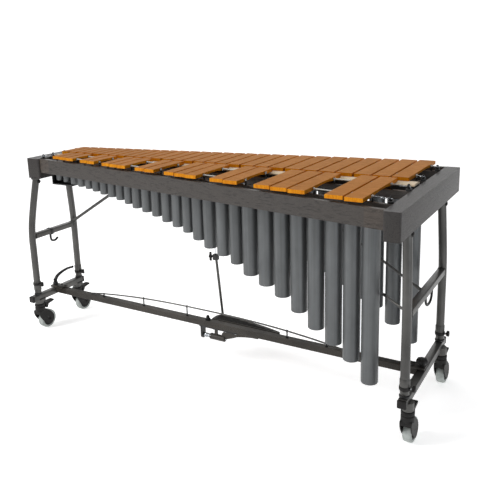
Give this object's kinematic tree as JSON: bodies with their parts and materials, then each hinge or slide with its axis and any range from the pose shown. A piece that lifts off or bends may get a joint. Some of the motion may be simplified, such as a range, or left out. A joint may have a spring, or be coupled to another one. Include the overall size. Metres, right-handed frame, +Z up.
{
  "type": "vibraphone",
  "caption": "Concert vibraphone: two rows of gold metal bars over tube resonators in a dark wood frame on bent steel legs, with a foot pedal, damper bar and braked casters.",
  "frame": {"origin": "on the floor, under the centre of the instrument", "axes": "+X along the length towards the low notes, -Y towards the audience and the accidental bars, +Y towards the player, +Z up"},
  "size_m": [1.8897, 0.76, 0.867],
  "materials": {
    "stained_wood": "satin",
    "gold_bars": "satin anodised",
    "grey_tubes": "satin",
    "grey_frame": "satin",
    "beam_metal": "satin",
    "bright_steel": "polished",
    "black_metal": "satin",
    "black_plastic": "matte",
    "felt": "matte",
    "grey_tyre": "matte",
    "black_aluminium": "satin black"
  },
  "bodies": {
    "base": {"low_end_base_beam": "grey_frame", "high_end_base_beam": "grey_frame", "crossbeam": "beam_metal", "truss_rod": "grey_frame", "pedal_bracket": "black_metal", "low_front_inner_tube": "bright_steel", "low_back_inner_tube": "bright_steel", "high_front_inner_tube": "bright_steel", "high_back_inner_tube": "bright_steel"},
    "frame": {"low_end_panel": "stained_wood", "high_end_panel": "stained_wood", "front_rail": "stained_wood", "back_rail": "stained_wood", "accidental_outer_bar_rail": "black_metal", "accidental_inner_bar_rail": "black_metal", "natural_inner_bar_rail": "black_metal", "natural_outer_bar_rail": "black_metal", "natural_bars_octave_1": "gold_bars", "natural_bars_octave_2": "gold_bars", "natural_bars_octave_3": "gold_bars", "natural_bars_octave_4": "gold_bars", "accidental_bars_octave_1": "gold_bars", "accidental_bars_octave_2": "gold_bars", "accidental_bars_octave_3": "gold_bars", "accidental_bars_octave_4": "gold_bars", "accidental_resonators": "grey_tubes", "natural_resonators": "grey_tubes", "low_front_leg": "grey_frame", "low_back_leg": "grey_frame", "high_front_leg": "grey_frame", "high_back_leg": "grey_frame", "low_end_leg_crossbar": "grey_frame", "high_end_leg_crossbar": "grey_frame", "low_end_brace": "grey_frame", "high_end_brace": "grey_frame", "resonator_stay": "grey_frame"},
    "damper": {"damper_bar": "black_aluminium", "damper_felt": "felt"},
    "pedal": {"pedal": "beam_metal"},
    "rod_lower": {"pull_rod_lower": "grey_frame"},
    "rod_upper": {"pull_rod_upper": "bright_steel"},
    "wing_knob": {"rod_wing_knob": "black_plastic"},
    "lock_lever": {"beam_lock_lever": "black_metal"},
    "lock_knob": {"beam_lock_knob": "black_plastic"},
    "low_front_knob": {"low_front_clamp_knob": "black_plastic"},
    "low_front_fork": {"low_front_caster_fork": "black_plastic"},
    "low_front_wheel": {"low_front_caster_wheel": "grey_tyre"},
    "low_front_brake": {"low_front_caster_brake": "black_plastic"},
    "low_back_knob": {"low_back_clamp_knob": "black_plastic"},
    "low_back_fork": {"low_back_caster_fork": "black_plastic"},
    "low_back_wheel": {"low_back_caster_wheel": "grey_tyre"},
    "low_back_brake": {"low_back_caster_brake": "black_plastic"},
    "high_front_knob": {"high_front_clamp_knob": "black_plastic"},
    "high_front_fork": {"high_front_caster_fork": "black_plastic"},
    "high_front_wheel": {"high_front_caster_wheel": "grey_tyre"},
    "high_front_brake": {"high_front_caster_brake": "black_plastic"},
    "high_back_knob": {"high_back_clamp_knob": "black_plastic"},
    "high_back_fork": {"high_back_caster_fork": "black_plastic"},
    "high_back_wheel": {"high_back_caster_wheel": "grey_tyre"},
    "high_back_brake": {"high_back_caster_brake": "black_plastic"}
  },
  "joints": [
    {"name": "height_adjust", "type": "slide", "parent": "base", "child": "frame", "axis": [0, 0, 1], "range_m": [0, 0.1]},
    {"name": "pedal_press", "type": "hinge", "parent": "base", "child": "pedal", "pos_m": [0.044, -0.02, 0.118], "axis": [-1, 0, 0], "range_deg": [0, 7.6], "stiffness_Nm_per_rad": 14, "springref_deg": -22.92},
    {"name": "damper_drop", "type": "slide", "parent": "frame", "child": "damper", "axis": [0, 0, -1], "range_m": [0, 0.0121]},
    {"name": "rod_pull", "type": "slide", "parent": "base", "child": "rod_lower", "axis": [0, 0.126, -0.992], "range_m": [0, 0.0125]},
    {"name": "rod_extend", "type": "slide", "parent": "rod_lower", "child": "rod_upper", "axis": [0, -0.126, 0.992], "range_m": [0, 0.102]},
    {"name": "wing_knob_turn", "type": "hinge", "parent": "rod_lower", "child": "wing_knob", "pos_m": [0, 0.02831, 0.458], "axis": [1, 0, 0], "range_deg": [-180, 180]},
    {"name": "lock_lever_turn", "type": "hinge", "parent": "base", "child": "lock_lever", "pos_m": [-0.91, -0.023, 0.204], "axis": [0, 0, 1], "range_deg": [-80, 0]},
    {"name": "lock_knob_turn", "type": "hinge", "parent": "base", "child": "lock_knob", "pos_m": [0.91, -0.023, 0.211], "axis": [0, 0, 1], "range_deg": [-180, 180]},
    {"name": "low_front_knob_turn", "type": "hinge", "parent": "frame", "child": "low_front_knob", "pos_m": [0.935, -0.231, 0.218], "axis": [1, 0, 0], "range_deg": [-180, 180]},
    {"name": "low_front_caster_swivel", "type": "hinge", "parent": "base", "child": "low_front_fork", "pos_m": [0.92, -0.221, 0.134], "axis": [0, 0, 1], "continuous": true},
    {"name": "low_front_wheel_roll", "type": "hinge", "parent": "low_front_fork", "child": "low_front_wheel", "pos_m": [0.92, -0.185, 0.044], "axis": [1, 0, 0], "continuous": true},
    {"name": "low_front_brake_press", "type": "hinge", "parent": "low_front_fork", "child": "low_front_brake", "pos_m": [0.92, -0.195, 0.118], "axis": [-1, 0, 0], "range_deg": [0, 14]},
    {"name": "low_back_knob_turn", "type": "hinge", "parent": "frame", "child": "low_back_knob", "pos_m": [0.935, 0.231, 0.218], "axis": [1, 0, 0], "range_deg": [-180, 180]},
    {"name": "low_back_caster_swivel", "type": "hinge", "parent": "base", "child": "low_back_fork", "pos_m": [0.92, 0.221, 0.134], "axis": [0, 0, 1], "continuous": true},
    {"name": "low_back_wheel_roll", "type": "hinge", "parent": "low_back_fork", "child": "low_back_wheel", "pos_m": [0.92, 0.257, 0.044], "axis": [1, 0, 0], "continuous": true},
    {"name": "low_back_brake_press", "type": "hinge", "parent": "low_back_fork", "child": "low_back_brake", "pos_m": [0.92, 0.247, 0.118], "axis": [-1, 0, 0], "range_deg": [0, 14]},
    {"name": "high_front_knob_turn", "type": "hinge", "parent": "frame", "child": "high_front_knob", "pos_m": [-0.885, -0.134, 0.24], "axis": [1, 0, 0], "range_deg": [-180, 180]},
    {"name": "high_front_caster_swivel", "type": "hinge", "parent": "base", "child": "high_front_fork", "pos_m": [-0.92, -0.124, 0.134], "axis": [0, 0, 1], "continuous": true},
    {"name": "high_front_wheel_roll", "type": "hinge", "parent": "high_front_fork", "child": "high_front_wheel", "pos_m": [-0.92, -0.088, 0.044], "axis": [1, 0, 0], "continuous": true},
    {"name": "high_front_brake_press", "type": "hinge", "parent": "high_front_fork", "child": "high_front_brake", "pos_m": [-0.92, -0.098, 0.118], "axis": [-1, 0, 0], "range_deg": [0, 14]},
    {"name": "high_back_knob_turn", "type": "hinge", "parent": "frame", "child": "high_back_knob", "pos_m": [-0.885, 0.134, 0.218], "axis": [1, 0, 0], "range_deg": [-180, 180]},
    {"name": "high_back_caster_swivel", "type": "hinge", "parent": "base", "child": "high_back_fork", "pos_m": [-0.92, 0.124, 0.134], "axis": [0, 0, 1], "continuous": true},
    {"name": "high_back_wheel_roll", "type": "hinge", "parent": "high_back_fork", "child": "high_back_wheel", "pos_m": [-0.92, 0.16, 0.044], "axis": [1, 0, 0], "continuous": true},
    {"name": "high_back_brake_press", "type": "hinge", "parent": "high_back_fork", "child": "high_back_brake", "pos_m": [-0.92, 0.15, 0.118], "axis": [-1, 0, 0], "range_deg": [0, 14]}
  ],
  "couplings": [
    {"joint": "damper_drop", "follows": "pedal_press", "m_per_rad": 0.0905},
    {"joint": "rod_pull", "follows": "pedal_press", "m_per_rad": 0.09123},
    {"joint": "rod_extend", "follows": "height_adjust", "ratio": 1.008}
  ]
}
